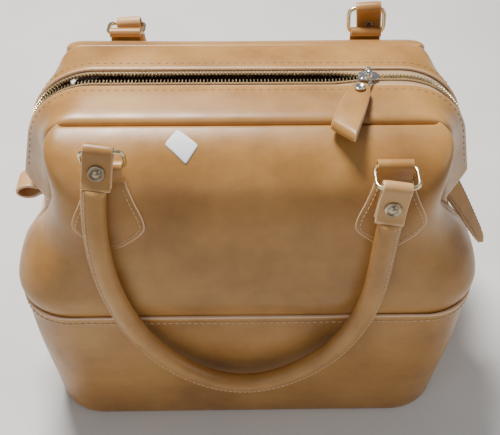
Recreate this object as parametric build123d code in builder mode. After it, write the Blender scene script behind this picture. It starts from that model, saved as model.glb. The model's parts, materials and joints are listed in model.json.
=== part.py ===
from build123d import *
import os
from math import cos, hypot, radians, sin

# Doctor bag: a hinged box-top frame over a leather body, with a stiff base.
# Millimetres. The origin is the centre of the base's underside, -Y is the front, +Z is up.

os.makedirs("parts", exist_ok=True)

# ---- leather thicknesses and gaps ----
leather = 2.6
gap = 0.3

# ---- body: (height, half width, half depth, corner radius) of its outer skin ----
base_stations = [(0, 177, 112, 42), (64, 184, 115, 44), (141, 191, 117, 48)]
body_stations = [
    (127, 187, 113, 46),
    (141.6, 188, 114, 48),
    (160, 191, 115, 52),
    (190, 181, 114, 52),
    (212, 165, 111.5, 46),
    (240, 152, 108, 40),
    (262, 147, 101, 34),
    (276, 144, 90, 28),
    (286, 144, 76, 22),
    (292.5, 141, 62, 8),
]
base_plate_thickness = 3.0
board_thickness = 2.0

# ---- hinged frame ----
hinge_height = 218.0
mouth_half_depth = 54.0
casing_wall = 9.0
casing_foot = 212.0
# (distance from the middle, half width at the top, half width at the foot, top height, corner radius)
casing_stations = [
    (54, 149, 158, 294, 24),
    (47, 154, 165, 296, 32),
    (30, 164, 178, 299, 46),
    (12.5, 171, 190, 299.5, 59),
]
bar_near, bar_far = 20.0, 30.0
bar_half_top, bar_half_foot, bar_top, bar_radius = 150.0, 162.2, 289.3, 46.0
bar_thickness = 2.5
leaf_thickness = 2.0
front_leaf_outer = 157.3
back_leaf_outer = front_leaf_outer - leaf_thickness - gap
pin_radius = 2.5
pin_clearance = 0.06

# ---- zip ----
tape_half_top, tape_half_foot, tape_top, tape_radius = 169.0, 188.0, 297.5, 59.0
tape_end = hinge_height + 6.0
tape_thickness = 1.2
tape_edge = 12.2
chain_thickness = 2.6
chain_width = 2.6
chain_rise = 0.7
open_chain = 4.4
closed_chain = 0.2
slider_x = 103.0
slider_length = 17.0

# ---- rings, chapes and handles ----
ring_spacing = 107.0
loop_y, loop_z = 93.0, 283.0
ring_half_width = 17.0
ring_corner = 3.0
wire_radius = 2.0
chape_fold_inner, chape_fold_outer = 2.5, 5.0
chape_half_width = 13.0
patch_half_width = 27.0
patch_corner, patch_tip = 236.0, 218.0
patch_thickness = 1.6
grip_radius = 8.0
core_radius = 4.5
handle_shift = -1.5
tab_fold_inner, tab_fold_outer = 3.6, 5.8
tab_half_width = 10.5
tab_length = 28.0
tab_flat_start = 8.0
tab_thickness = 2.0
tongue_half_thickness = 1.5
tongue_start = 7.0
rivet_radius = 6.5
rivet_drop = 16.0
rivet_height = 2.4
grip_start = 30.0
# The front handle hangs askew: its left ring stands up, and its right ring lies forward.
# (hand, ring's reach forward, ring's rise, tab's lean forward for each millimetre down)
front_rings = [(-1, 7.0, 20.5, 0.30), (1, 23.0, -3.0, 0.13)]
# Middle points of the front grip, from its left end to its right end.
grip_route = [(-113.5, -120.5, 232), (-102, -126, 165), (-71, -129, 108), (-4, -130, 70), (68, -129, 112), (96, -126.5, 182)]


def export(piece, name):
    """Label a finished piece and write it to its own file."""
    piece.label = name
    export_step(piece, f"parts/{name}.step")


def skin_loft(stations, inset, mode, bottom_extra=0.0, top_extra=0.0):
    """Loft rounded rectangles through the stations, moved inward by the inset."""
    last = len(stations) - 1
    sections = []
    for index, (height, half_width, half_depth, radius) in enumerate(stations):
        level = height
        if index == 0:
            level -= bottom_extra
        if index == last:
            level += top_extra
        with BuildSketch(Plane.XY.offset(level)) as section:
            RectangleRounded(2 * (half_width - inset), 2 * (half_depth - inset), max(radius - inset, 1.0))
        sections.append(section.sketch)
    loft(sections, ruled=True, mode=mode)


def arch_sketch(plane, half_top, half_foot, top, radius, foot, inset=0.0):
    """Closed outline of the frame seen from the front, with rounded upper corners."""
    with BuildSketch(plane) as outline:
        with BuildLine():
            Polyline(
                (-half_foot + inset, foot),
                (-half_top + inset, top - inset),
                (half_top - inset, top - inset),
                (half_foot - inset, foot),
                close=True,
            )
        make_face()
        upper_corners = outline.sketch_local.vertices().group_by(Axis.Y)[-1]
        fillet(upper_corners, max(radius - inset, 4.0))
    return outline.sketch


def arch_strip(side, near, far, half_top, half_foot, top, radius, thickness, left=-300.0, right=300.0, low=0.0):
    """A strip bent into the frame's arch, between two distances from the middle plane, above a height."""
    with BuildPart() as strip:
        plane = Plane.XZ.offset(-side * near)
        outside = arch_sketch(plane, half_top, half_foot, top, radius, casing_foot)
        inside = arch_sketch(plane, half_top, half_foot, top, radius, casing_foot - 1, inset=thickness)
        extrude(outside, amount=-side * (far - near))
        extrude(inside, amount=-side * (far - near), mode=Mode.SUBTRACT)
        with Locations(((left + right) / 2, 0, low + 200)):
            Box(right - left, 100, 400, mode=Mode.INTERSECT)
    return strip.part


# ================= base =================
with BuildPart() as base_band:
    skin_loft(base_stations, 0, Mode.ADD)
    skin_loft(base_stations, leather, Mode.SUBTRACT, bottom_extra=1, top_extra=1)
export(base_band.part, "base_band")

_, base_half_width, base_half_depth, base_radius = base_stations[0]
plate_inset = leather + gap
with BuildPart() as base_panel:
    with BuildSketch(Plane.XY):
        RectangleRounded(
            2 * (base_half_width - plate_inset), 2 * (base_half_depth - plate_inset), base_radius - plate_inset
        )
    extrude(amount=base_plate_thickness)
export(base_panel.part, "base_panel")

with BuildPart() as base_board:
    with BuildSketch(Plane.XY.offset(base_plate_thickness)):
        RectangleRounded(
            2 * (base_half_width - plate_inset - 3), 2 * (base_half_depth - plate_inset - 3), base_radius - 6
        )
    extrude(amount=board_thickness)
export(base_board.part, "base_board")

# ================= upper body =================
# One lofted skin, cut where the frame sits, then parted into two panels and two gussets.
shoulder = body_stations[-1][0]
panel_edge = mouth_half_depth + gap
gusset_top = 204.0
with BuildPart() as body_skin:
    skin_loft(body_stations, 0, Mode.ADD)
    skin_loft(body_stations, leather, Mode.SUBTRACT, bottom_extra=1, top_extra=-leather)
    with BuildSketch(Plane.XY.offset(gusset_top)):
        Rectangle(400, 2 * panel_edge)
    extrude(amount=shoulder, mode=Mode.SUBTRACT)

for side, name in ((-1, "front_panel"), (1, "back_panel")):
    with BuildPart() as panel:
        add(body_skin.part)
        with Locations((0, side * (panel_edge + 150), 200)):
            Box(500, 300, 400, mode=Mode.INTERSECT)
    export(panel.part, name)

gusset_half_depth = panel_edge - gap
for side, name in ((-1, "left_gusset"), (1, "right_gusset")):
    with BuildPart() as gusset:
        add(body_skin.part)
        with Locations((side * 200, 0, 200)):
            Box(400, 2 * gusset_half_depth, 400, mode=Mode.INTERSECT)
    export(gusset.part, name)

# ================= hinged frames =================
for side, end in ((-1, "front"), (1, "back")):
    outer_sections = []
    inner_sections = []
    for index, (distance, *outline) in enumerate(casing_stations):
        beyond = (1, 0, 0, -1)[index]
        outer_plane = Plane.XZ.offset(-side * distance)
        inner_plane = Plane.XZ.offset(-side * (distance + beyond))
        outer_sections.append(arch_sketch(outer_plane, *outline, casing_foot))
        inner_sections.append(arch_sketch(inner_plane, *outline, casing_foot - 3, inset=casing_wall))
    with BuildPart() as casing:
        loft(outer_sections, ruled=True)
        loft(inner_sections, ruled=True, mode=Mode.SUBTRACT)
    export(casing.part, f"{end}_casing")

    bar = arch_strip(
        side, bar_near, bar_far, bar_half_top, bar_half_foot, bar_top, bar_radius, bar_thickness
    )
    export(bar, f"{end}_frame_bar")

    leaf_outer = front_leaf_outer if side < 0 else back_leaf_outer
    with BuildPart() as leaves:
        for hand in (-1, 1):
            with BuildSketch(Plane.YZ.offset(hand * (leaf_outer - leaf_thickness / 2))):
                with Locations((side * 13, hinge_height)):
                    SlotOverall(38, 12)
                with Locations((0, hinge_height)):
                    Circle(pin_radius + pin_clearance, mode=Mode.SUBTRACT)
            extrude(amount=leaf_thickness / 2, both=True)
    export(leaves.part, f"{end}_hinge_leaves")

    # The zip's left stretch is open, and its right stretch is closed.
    tape_arch = (tape_half_top, tape_half_foot, tape_top, tape_radius, tape_thickness)
    with BuildPart() as tape:
        open_inner = open_chain + chain_width + gap
        closed_inner = closed_chain + chain_width + gap
        add(arch_strip(side, open_inner, tape_edge, *tape_arch, right=slider_x, low=tape_end))
        add(arch_strip(side, closed_inner, tape_edge, *tape_arch, left=slider_x, low=tape_end))
    export(tape.part, f"{end}_zip_tape")

    chain_arch = [value + chain_rise for value in tape_arch[:4]] + [chain_thickness]
    with BuildPart() as chain:
        open_outer = open_chain + chain_width
        closed_outer = closed_chain + chain_width
        add(arch_strip(side, open_chain, open_outer, *chain_arch, right=slider_x, low=tape_end))
        add(arch_strip(side, closed_chain, closed_outer, *chain_arch, left=slider_x + gap, low=tape_end))
    export(chain.part, f"{end}_zip_teeth")

for hand, name in ((-1, "left_hinge_pin"), (1, "right_hinge_pin")):
    pin_inner = back_leaf_outer - leaf_thickness - gap
    with BuildPart() as pin:
        with BuildSketch(Plane.YZ.offset(hand * (pin_inner - 2))):
            with Locations((0, hinge_height)):
                Circle(pin_radius + 1.6)
        extrude(amount=hand * 2)
        with BuildSketch(Plane.YZ.offset(hand * (pin_inner - 1))):
            with Locations((0, hinge_height)):
                Circle(pin_radius)
        extrude(amount=hand * (front_leaf_outer - pin_inner + 2))
    export(pin.part, name)

# ================= zip slider and pull =================
slider_top = tape_top + chain_rise + gap
slider_under = tape_top + chain_rise - chain_thickness - gap
plate_thickness = 1.2
bail_x = slider_x - 6.5
pull_height = slider_top + 5.1
with BuildPart() as zip_slider:
    for level, thickness in ((slider_top, plate_thickness), (slider_under, -plate_thickness)):
        with BuildSketch(Plane.XY.offset(level)):
            with Locations((slider_x - slider_length / 2 + 2, 0)):
                RectangleRounded(slider_length, 11.6, 3.5)
        extrude(amount=thickness)
    # The wedge stands between the two open chains.
    with BuildSketch(Plane.XY.offset(slider_under)):
        with Locations((slider_x - slider_length + 5, 0)):
            Ellipse(3.0, 2.6)
    extrude(amount=slider_top - slider_under)
    # The bail is the bridge that carries the pull.
    bail_foot = slider_top + plate_thickness / 2
    with BuildSketch(Plane.YZ.offset(bail_x)):
        with BuildLine():
            Polyline((-5.6, bail_foot), (-5.6, pull_height), (-3.2, pull_height + 2.6))
            Polyline((-3.2, pull_height + 2.6), (3.2, pull_height + 2.6), (5.6, pull_height), (5.6, bail_foot))
            Polyline((5.6, bail_foot), (4.0, bail_foot), (4.0, pull_height), (2.6, pull_height + 1.2))
            Polyline((2.6, pull_height + 1.2), (-2.6, pull_height + 1.2), (-4.0, pull_height))
            Polyline((-4.0, pull_height), (-4.0, bail_foot), (-5.6, bail_foot))
        make_face()
    extrude(amount=1.6, both=True)
export(zip_slider.part, "zip_slider")

# The pull swings about an axis that is turned a little from the zip's own line.
pull_turn = radians(20.0)
pull_plane = Plane(
    origin=(bail_x, 0, pull_height), x_dir=(cos(pull_turn), -sin(pull_turn), 0), z_dir=(0, 0, 1)
)
link_half_thickness = 0.8
link_rivet = 13.5
with BuildPart() as zip_pull_link:
    with BuildSketch(pull_plane.offset(-link_half_thickness)):
        with Locations((0, -8)):
            RectangleRounded(11.8, 17.8, 2.5)
        with Locations((0, -2.7)):
            Rectangle(8.4, 8.4, mode=Mode.SUBTRACT)
        with Locations((0, -link_rivet)):
            Circle(1.6, mode=Mode.SUBTRACT)
    extrude(amount=2 * link_half_thickness)
    # A round bar at the end of the link turns inside the bail.
    with BuildSketch(Plane(origin=pull_plane.origin, z_dir=pull_plane.x_dir)):
        Circle(1.0)
    extrude(amount=4.8, both=True)
export(zip_pull_link.part, "zip_pull_link")

pull_start, pull_end = 9.0, 77.0
pull_inner, pull_outer, pull_swell = 0.9, 2.7, 0.9
loop_center = pull_end - pull_outer - pull_swell
side_plane = Plane(origin=pull_plane.origin, x_dir=-pull_plane.y_dir, z_dir=pull_plane.x_dir)
with BuildPart() as zip_pull_leather:
    with BuildSketch(side_plane):
        outer_half = pull_outer + pull_swell
        inner_half = pull_inner + pull_swell
        with BuildLine():
            Polyline((pull_start, pull_inner), (pull_start, pull_outer), (loop_center, outer_half))
            ThreePointArc((loop_center, outer_half), (pull_end, 0), (loop_center, -outer_half))
            Polyline((loop_center, -outer_half), (pull_start, -pull_outer), (pull_start, -pull_inner))
            Line((pull_start, -pull_inner), (loop_center, -inner_half))
            ThreePointArc(
                (loop_center, -inner_half), (loop_center + inner_half, 0), (loop_center, inner_half)
            )
            Line((loop_center, inner_half), (pull_start, pull_inner))
        make_face()
    extrude(amount=10.5, both=True)
    with BuildSketch(pull_plane.offset(-8)):
        with BuildLine():
            Polyline(
                (-6.5, 1 - pull_start), (6.5, 1 - pull_start), (9, -24), (10.5, -pull_end - 1),
                (-10.5, -pull_end - 1), (-9, -24), close=True,
            )
        make_face()
    extrude(amount=16, mode=Mode.INTERSECT)
    with BuildSketch(pull_plane.offset(-8)):
        with Locations((0, -link_rivet)):
            Circle(1.6)
    extrude(amount=16, mode=Mode.SUBTRACT)
export(zip_pull_leather.part, "zip_pull_leather")

with BuildPart() as zip_pull_rivet:
    with BuildSketch(pull_plane.offset(-2.6)):
        with Locations((0, -link_rivet)):
            Circle(1.5)
    extrude(amount=6)
    with BuildSketch(pull_plane.offset(3.1)):
        with Locations((0, -link_rivet)):
            Circle(4.2)
    extrude(amount=1.3)
export(zip_pull_rivet.part, "zip_pull_rivet")

# ================= rings, chapes and handles =================
def skin_depth(height):
    """Half depth of the body's outer skin at a height."""
    for (z0, _, d0, _), (z1, _, d1, _) in zip(body_stations, body_stations[1:]):
        if z0 <= height <= z1:
            return d0 + (d1 - d0) * (height - z0) / (z1 - z0)
    return body_stations[-1][2]


def export_pair(piece, place, item):
    """Write a front piece, and the same piece turned half round as its partner at the back."""
    partner = {"left": "right_", "right": "left_", "": ""}[place]
    own = f"{place}_" if place else ""
    export(piece, f"front_{own}{item}")
    export(piece.rotate(Axis.Z, 180), f"back_{partner}{item}")


pivots = [Vector(hand * ring_spacing, -loop_y - reach, loop_z + rise) for hand, reach, rise, _ in front_rings]
handle_axis = (pivots[1] - pivots[0]).normalized()
for (hand, reach, rise, _), place in zip(front_rings, ("left", "right")):
    x = hand * ring_spacing

    # Chape: a patch that lies on the panel and folds round the ring's upper bar.
    with BuildPart() as chape:
        profile_z = [217, 226, 240, 251, 262, 270]
        with BuildSketch(Plane.YZ.offset(x)):
            with BuildLine():
                near = [(-skin_depth(z) - gap, z) for z in profile_z]
                far = [(-skin_depth(z) - gap - patch_thickness, z) for z in reversed(profile_z)]
                Polyline(*near, *far, close=True)
            make_face()
        extrude(amount=30, both=True)
        with BuildSketch(Plane.XZ.offset(80)):
            with BuildLine():
                Polyline(
                    (x - chape_half_width, 271),
                    (x - patch_half_width, patch_corner),
                    (x - patch_half_width + 3, patch_corner - 5),
                    (x, patch_tip),
                    (x + patch_half_width - 3, patch_corner - 5),
                    (x + patch_half_width, patch_corner),
                    (x + chape_half_width, 271),
                    close=True,
                )
            make_face()
        extrude(amount=60, mode=Mode.INTERSECT)
        with BuildSketch(Plane.YZ.offset(x)):
            with Locations((-loop_y, loop_z)):
                Circle(chape_fold_outer)
            with BuildLine():
                Polyline(
                    (-loop_y - 4.6, loop_z - 2),
                    (-skin_depth(268) - gap - patch_thickness, 268),
                    (-skin_depth(268) - gap, 268),
                    (-loop_y + 1, loop_z - 4.7),
                    close=True,
                )
            make_face()
            with Locations((-loop_y, loop_z)):
                Circle(chape_fold_inner, mode=Mode.SUBTRACT)
        extrude(amount=chape_half_width, both=True)
    export_pair(chape.part, place, "chape")

    # The ring is a round wire bent into a rounded rectangle, from the chape's fold to the tab's fold.
    ring_length = hypot(reach, rise)
    across = Vector(1, 0, 0)
    ring_normal = across.cross(Vector(0, -reach, rise))
    with BuildSketch(Plane(origin=(x, -loop_y, loop_z), x_dir=across, z_dir=ring_normal)) as ring_outline:
        with Locations((0, ring_length / 2)):
            RectangleRounded(2 * ring_half_width, ring_length, ring_corner)
    ring_path = ring_outline.sketch.face().outer_wire()
    with BuildPart() as ring:
        with BuildSketch(Plane(ring_path @ 0, z_dir=ring_path % 0)):
            Circle(wire_radius)
        sweep(path=ring_path)
    export_pair(ring.part, place, "ring")

# Handle: a rolled grip on a rope core, hung from the rings by folded and riveted tabs.
tab_planes = []
for (hand, _, _, lean), pivot in zip(front_rings, pivots):
    hang = Vector(0, -lean, -1)
    hang = (hang - handle_axis * hang.dot(handle_axis)).normalized()
    tab_planes.append(Plane(origin=pivot + handle_axis * handle_shift, x_dir=hang, z_dir=handle_axis))
grip_ends = [plane.from_local_coords(Vector(grip_start, 0, 0)) for plane in tab_planes]
with BuildLine() as grip_line:
    Spline(grip_ends[0], *grip_route, grip_ends[1], tangents=[tab_planes[0].x_dir, -tab_planes[1].x_dir])
grip_path = grip_line.wire()
end_plane = Plane(grip_path @ 0, z_dir=grip_path % 0)


def grip_rod(radius):
    """A round rod that follows the grip's line."""
    with BuildPart() as rod:
        with BuildSketch(end_plane):
            Circle(radius)
        sweep(path=grip_path)
    return rod.part


def across_tab(plane):
    """Plane along the tab's flat, seen from the front: x along the ring's axis and y down the tab."""
    return Plane(origin=plane.origin, x_dir=plane.z_dir, z_dir=plane.z_dir.cross(plane.x_dir))


export_pair(grip_rod(core_radius), "", "handle_core")
with BuildPart() as grip:
    add(grip_rod(grip_radius))
    add(grip_rod(core_radius + 0.1), mode=Mode.SUBTRACT)
    for tab_plane in tab_planes:
        with BuildSketch(across_tab(tab_plane).offset(-tongue_half_thickness)):
            with Locations((0, (grip_start + tongue_start) / 2)):
                Rectangle(2 * tab_half_width - 4, grip_start - tongue_start)
        extrude(amount=2 * tongue_half_thickness)
        with BuildSketch(across_tab(tab_plane).offset(-10)):
            with Locations((0, rivet_drop)):
                Circle(2.1)
        extrude(amount=20, mode=Mode.SUBTRACT)
export_pair(grip.part, "", "handle_grip")

strap = tongue_half_thickness + 0.1 + tab_thickness
for tab_plane, place in zip(tab_planes, ("left", "right")):
    with BuildPart() as tab:
        with BuildSketch(tab_plane):
            Circle(tab_fold_outer)
            with BuildLine():
                Polyline(
                    (0, tab_fold_outer),
                    (tab_flat_start, strap),
                    (tab_length, strap),
                    (tab_length, -strap),
                    (tab_flat_start, -strap),
                    (0, -tab_fold_outer),
                    close=True,
                )
            make_face()
            Circle(tab_fold_inner, mode=Mode.SUBTRACT)
            with Locations((tab_length / 2 + 1, 0)):
                Rectangle(tab_length + 2, 2 * (strap - tab_thickness), mode=Mode.SUBTRACT)
        extrude(amount=tab_half_width, both=True)
        with BuildSketch(across_tab(tab_plane).offset(-10)):
            with Locations((0, rivet_drop)):
                Circle(2.1)
        extrude(amount=20, mode=Mode.SUBTRACT)
    export_pair(tab.part, place, "handle_tab")

    outward = -1 if across_tab(tab_plane).z_dir.Y > 0 else 1
    with BuildPart() as rivet:
        with BuildSketch(across_tab(tab_plane).offset(-strap)):
            with Locations((0, rivet_drop)):
                Circle(2.0)
        extrude(amount=2 * strap)
        with BuildSketch(across_tab(tab_plane).offset(outward * strap)):
            with Locations((0, rivet_drop)):
                Circle(rivet_radius)
        extrude(amount=outward * rivet_height)
    export_pair(rivet.part, place, "handle_rivet")

# ================= zip end tabs =================
# The left tab is a strap folded into an open loop, and the right one hangs as two flat layers.
with BuildPart() as left_zip_tab:
    with BuildSketch(Plane.XZ.offset(-11)):
        with Locations((-192.6, 191)):
            Ellipse(10.5, 8)
            Ellipse(10.5 - 2.2, 8 - 2.2, mode=Mode.SUBTRACT)
    extrude(amount=22)
export(left_zip_tab.part, "left_zip_tab")

with BuildPart() as right_zip_tab:
    with BuildSketch(Plane.XZ.offset(6)):
        with BuildLine():
            Polyline((190, 196), (195, 197), (215, 141), (210, 138.5), close=True)
        make_face()
    extrude(amount=24)
export(right_zip_tab.part, "right_zip_tab")

# ================= blank label =================
sticker_plane = Plane(origin=(-51, -72.5, 288.5), x_dir=(1, 0, 0), z_dir=(0, -6.5, 14))
with BuildPart() as price_sticker:
    with BuildSketch(sticker_plane.offset(0.4)):
        Rectangle(20, 14, rotation=-38)
    extrude(amount=0.3)
export(price_sticker.part, "price_sticker")
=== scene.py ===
import json
import math

import bmesh
import bpy
import numpy as np
from mathutils import Matrix, Vector
from mathutils.bvhtree import BVHTree


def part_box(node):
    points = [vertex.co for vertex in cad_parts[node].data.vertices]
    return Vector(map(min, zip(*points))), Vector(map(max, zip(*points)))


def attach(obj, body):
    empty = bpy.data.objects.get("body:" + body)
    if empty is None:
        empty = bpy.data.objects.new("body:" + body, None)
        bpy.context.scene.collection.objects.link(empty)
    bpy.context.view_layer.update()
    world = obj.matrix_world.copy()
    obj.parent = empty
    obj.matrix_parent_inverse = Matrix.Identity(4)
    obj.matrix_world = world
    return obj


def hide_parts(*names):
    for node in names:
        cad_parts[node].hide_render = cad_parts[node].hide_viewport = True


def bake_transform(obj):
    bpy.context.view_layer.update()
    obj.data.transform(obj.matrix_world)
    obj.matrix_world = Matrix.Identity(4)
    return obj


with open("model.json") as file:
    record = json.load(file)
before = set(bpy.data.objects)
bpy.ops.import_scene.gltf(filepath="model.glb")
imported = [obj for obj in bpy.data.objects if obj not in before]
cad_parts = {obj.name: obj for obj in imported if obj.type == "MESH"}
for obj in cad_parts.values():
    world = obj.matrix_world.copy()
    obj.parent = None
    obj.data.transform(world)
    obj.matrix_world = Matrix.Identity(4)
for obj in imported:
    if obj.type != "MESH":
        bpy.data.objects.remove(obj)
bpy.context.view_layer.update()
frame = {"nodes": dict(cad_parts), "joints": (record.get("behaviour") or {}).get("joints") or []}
MM = 0.001
SIDEWAYS, BACKWARD, UP = np.eye(3)


# ------------------------------------------------------------------ small tools
def joint(name):
    return next(j for j in frame["joints"] if j["name"] == name)


def joint_point(name):
    return np.array(joint(name)["pos_m"]) / MM


def smooth_curve(x, xs, ys):
    """Cubic curve through the points (xs, ys), with end slopes from the end spans."""
    xs, ys = np.asarray(xs, float), np.asarray(ys, float)
    slopes = np.gradient(ys, xs)
    x = np.clip(x, xs[0], xs[-1])
    i = np.clip(np.searchsorted(xs, x, side="right") - 1, 0, len(xs) - 2)
    h = xs[i + 1] - xs[i]
    t = (x - xs[i]) / h
    return (
        ys[i] * (1 + 2 * t) * (1 - t) ** 2
        + slopes[i] * h * t * (1 - t) ** 2
        + ys[i + 1] * t * t * (3 - 2 * t)
        + slopes[i + 1] * h * t * t * (t - 1)
    )


def unit(vectors):
    """One vector, or one per row, scaled to length one."""
    vectors = np.asarray(vectors, float)
    return vectors / np.linalg.norm(vectors, axis=-1, keepdims=True)


def tangents(path):
    return unit(np.gradient(np.asarray(path, float), axis=0))


def lengths(path):
    """Distance along a polyline at each of its points."""
    return np.concatenate([[0], np.cumsum(np.linalg.norm(np.diff(path, axis=0), axis=1))])


def bowed(value, power):
    """A power that keeps the sign, which squares off a circle's sine and cosine."""
    return math.copysign(abs(value) ** power, value)


def turn(count, start, sweep):
    """Cosine and sine at evenly spaced angles, in degrees, from the start to the end of a sweep."""
    angles = np.radians(np.linspace(start, start + sweep, count))
    return [(math.cos(angle), math.sin(angle)) for angle in angles]


def even(points, count):
    """Points spaced evenly along a polyline."""
    points = np.asarray(points, float)
    along = lengths(points)
    wanted = np.linspace(0, along[-1], count)
    return np.stack([np.interp(wanted, along, points[:, k]) for k in range(points.shape[1])], axis=1)


def soften(points, rounds):
    """Rounds off a polyline, keeping its ends."""
    for _ in range(rounds):
        points = points.copy()
        points[1:-1] = (points[:-2] + 2 * points[1:-1] + points[2:]) / 4
    return points


def new_object(name, verts, faces, material):
    mesh = bpy.data.meshes.new(name)
    mesh.from_pydata([tuple(v) for v in np.asarray(verts) * MM], [], faces)
    mesh.validate()
    bm = bmesh.new()
    bm.from_mesh(mesh)
    bmesh.ops.recalc_face_normals(bm, faces=bm.faces)
    bm.to_mesh(mesh)
    bm.free()
    mesh.polygons.foreach_set("use_smooth", [True] * len(mesh.polygons))
    obj = bpy.data.objects.new(name, mesh)
    bpy.context.scene.collection.objects.link(obj)
    mesh.materials.append(material)
    return obj


def grid_faces(rows, cols, wrap_rows=False, wrap_cols=False, start=0):
    faces = []
    for i in range(rows if wrap_rows else rows - 1):
        for j in range(cols if wrap_cols else cols - 1):
            a, b = i, (i + 1) % rows
            c, d = j, (j + 1) % cols
            faces.append(tuple(start + row * cols + col for row, col in ((a, c), (a, d), (b, d), (b, c))))
    return faces


def grid_normals(grid, wrap_cols=False):
    down = np.gradient(grid, axis=0)
    if wrap_cols:
        across = (np.roll(grid, -1, axis=1) - np.roll(grid, 1, axis=1)) / 2
    else:
        across = np.gradient(grid, axis=1)
    normals = np.cross(across, down)
    return normals / np.maximum(np.linalg.norm(normals, axis=2, keepdims=True), 1e-9)


def shell(name, grid, thickness, material, wrap_cols=False, flip=False):
    """A sheet of leather: the grid is its outer skin, and the thickness goes inward."""
    rows, cols, _ = grid.shape
    normals = grid_normals(grid, wrap_cols) * (-1 if flip else 1)
    inner = grid - normals * thickness
    verts = np.concatenate([grid.reshape(-1, 3), inner.reshape(-1, 3)])
    size = rows * cols
    faces = grid_faces(rows, cols, wrap_cols=wrap_cols)
    faces += [tuple(reversed(f)) for f in grid_faces(rows, cols, wrap_cols=wrap_cols, start=size)]
    for j in range(cols if wrap_cols else cols - 1):
        k = (j + 1) % cols
        faces.append((j, size + j, size + k, k))
        base = (rows - 1) * cols
        faces.append((base + j, base + k, size + base + k, size + base + j))
    if not wrap_cols:
        for i in range(rows - 1):
            faces.append((i * cols, (i + 1) * cols, size + (i + 1) * cols, size + i * cols))
            a, b = i * cols + cols - 1, (i + 1) * cols + cols - 1
            faces.append((a, size + a, size + b, b))
    return new_object(name, verts, faces, material)


def tube(name, rings, material, closed=False):
    """A closed form through a row of rings, each with the same number of points."""
    rings = np.asarray(rings, float)
    rows, cols, _ = rings.shape
    faces = grid_faces(rows, cols, wrap_rows=closed, wrap_cols=True)
    if not closed:
        faces.append(tuple(range(cols))[::-1])
        faces.append(tuple(range((rows - 1) * cols, rows * cols)))
    return new_object(name, rings.reshape(-1, 3), faces, material)


def ellipse_section(centre, first, second, half_first, half_second, count=12, power=1.0):
    """Points of an ellipse, squared off when the power is below one."""
    return [centre + first * half_first * bowed(c, power) + second * half_second * bowed(s, power)
            for c, s in turn(count + 1, 0, 360)[:-1]]


def join(name, objects):
    """Joins meshes into one object, and each face keeps its material."""
    bm = bmesh.new()
    materials = []
    for obj in objects:
        index = len(bm.faces)
        bm.from_mesh(obj.data)
        bm.faces.ensure_lookup_table()
        for material in obj.data.materials:
            if material not in materials:
                materials.append(material)
        for face in bm.faces[index:]:
            face.material_index = materials.index(obj.data.materials[face.material_index])
            face.smooth = True
    mesh = bpy.data.meshes.new(name)
    bm.to_mesh(mesh)
    bm.free()
    for material in materials:
        mesh.materials.append(material)
    for obj in objects:
        bpy.data.objects.remove(obj)
    joined = bpy.data.objects.new(name, mesh)
    bpy.context.scene.collection.objects.link(joined)
    return joined


def stitches(name, path, normals, pitch, material, length=None, radius=0.42, lift=0.1):
    """A row of thread stitches: short rounded pieces that lie along a path on a surface."""
    path, normals = np.asarray(path, float), np.asarray(normals, float)
    along = lengths(path)
    count = max(2, int(along[-1] / pitch))
    centres = (np.arange(count) + 0.5) * along[-1] / count
    length = length or pitch * 0.72
    verts, faces = [], []
    profile = [(-0.5, 0.25), (-0.42, 0.75), (-0.2, 1.0), (0.2, 1.0), (0.42, 0.75), (0.5, 0.25)]
    sides = 6
    for centre in centres:
        at, ahead, behind = (
            np.array([np.interp(place, along, path[:, k]) for k in range(3)])
            for place in (centre, min(centre + 0.5, along[-1]), max(centre - 0.5, 0))
        )
        normal = np.array([np.interp(centre, along, normals[:, k]) for k in range(3)])
        tangent = unit(ahead - behind)
        normal = unit(normal - tangent * normal.dot(tangent))
        side = np.cross(tangent, normal)
        start = len(verts)
        for place, share in profile:
            middle = at + tangent * place * length + normal * lift
            verts += ellipse_section(middle, normal, side, radius * share, radius * share, sides)
        faces += grid_faces(len(profile), sides, wrap_cols=True, start=start)
        faces.append(tuple(start + k for k in range(sides))[::-1])
        last = start + (len(profile) - 1) * sides
        faces.append(tuple(last + k for k in range(sides)))
    return new_object(name, verts, faces, material)


# ------------------------------------------------------------------ materials
def node_material(name):
    material = bpy.data.materials.new(name)
    material.use_nodes = True
    tree = material.node_tree
    shader = tree.nodes["Principled BSDF"]
    coordinates = tree.nodes.new("ShaderNodeTexCoord")
    return material, tree, shader, coordinates.outputs["Object"]


def set_inputs(node, **values):
    for name, value in values.items():
        node.inputs[name.replace("_", " ")].default_value = value


def noise(tree, source, scale, detail=3.0, roughness=0.55, stretch=None):
    if stretch:
        mapping = tree.nodes.new("ShaderNodeMapping")
        set_inputs(mapping, Scale=stretch)
        tree.links.new(source, mapping.inputs["Vector"])
        source = mapping.outputs["Vector"]
    node = tree.nodes.new("ShaderNodeTexNoise")
    set_inputs(node, Scale=scale, Detail=detail, Roughness=roughness)
    tree.links.new(source, node.inputs["Vector"])
    return node.outputs["Fac"]


def ramp(tree, source, stops):
    node = tree.nodes.new("ShaderNodeValToRGB")
    elements = node.color_ramp.elements
    while len(elements) < len(stops):
        elements.new(0.5)
    for element, (place, colour) in zip(elements, stops):
        element.position = place
        element.color = (*colour, 1)
    tree.links.new(source, node.inputs["Fac"])
    return node.outputs["Color"]


def mix(tree, kind, factor, first, second):
    node = tree.nodes.new("ShaderNodeMix")
    node.data_type = "RGBA"
    node.blend_type = kind
    for socket, value in ((node.inputs[0], factor), (node.inputs[6], first), (node.inputs[7], second)):
        if isinstance(value, bpy.types.NodeSocket):
            tree.links.new(value, socket)
        else:
            socket.default_value = value
    return node.outputs[2]


def shade(tree, factor, colour, source, dark, high=0.7):
    """Darkens a colour where the source is low."""
    return mix(tree, "MULTIPLY", factor, colour, ramp(tree, source, [(0.3, dark), (high, (1, 1, 1))]))


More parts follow.
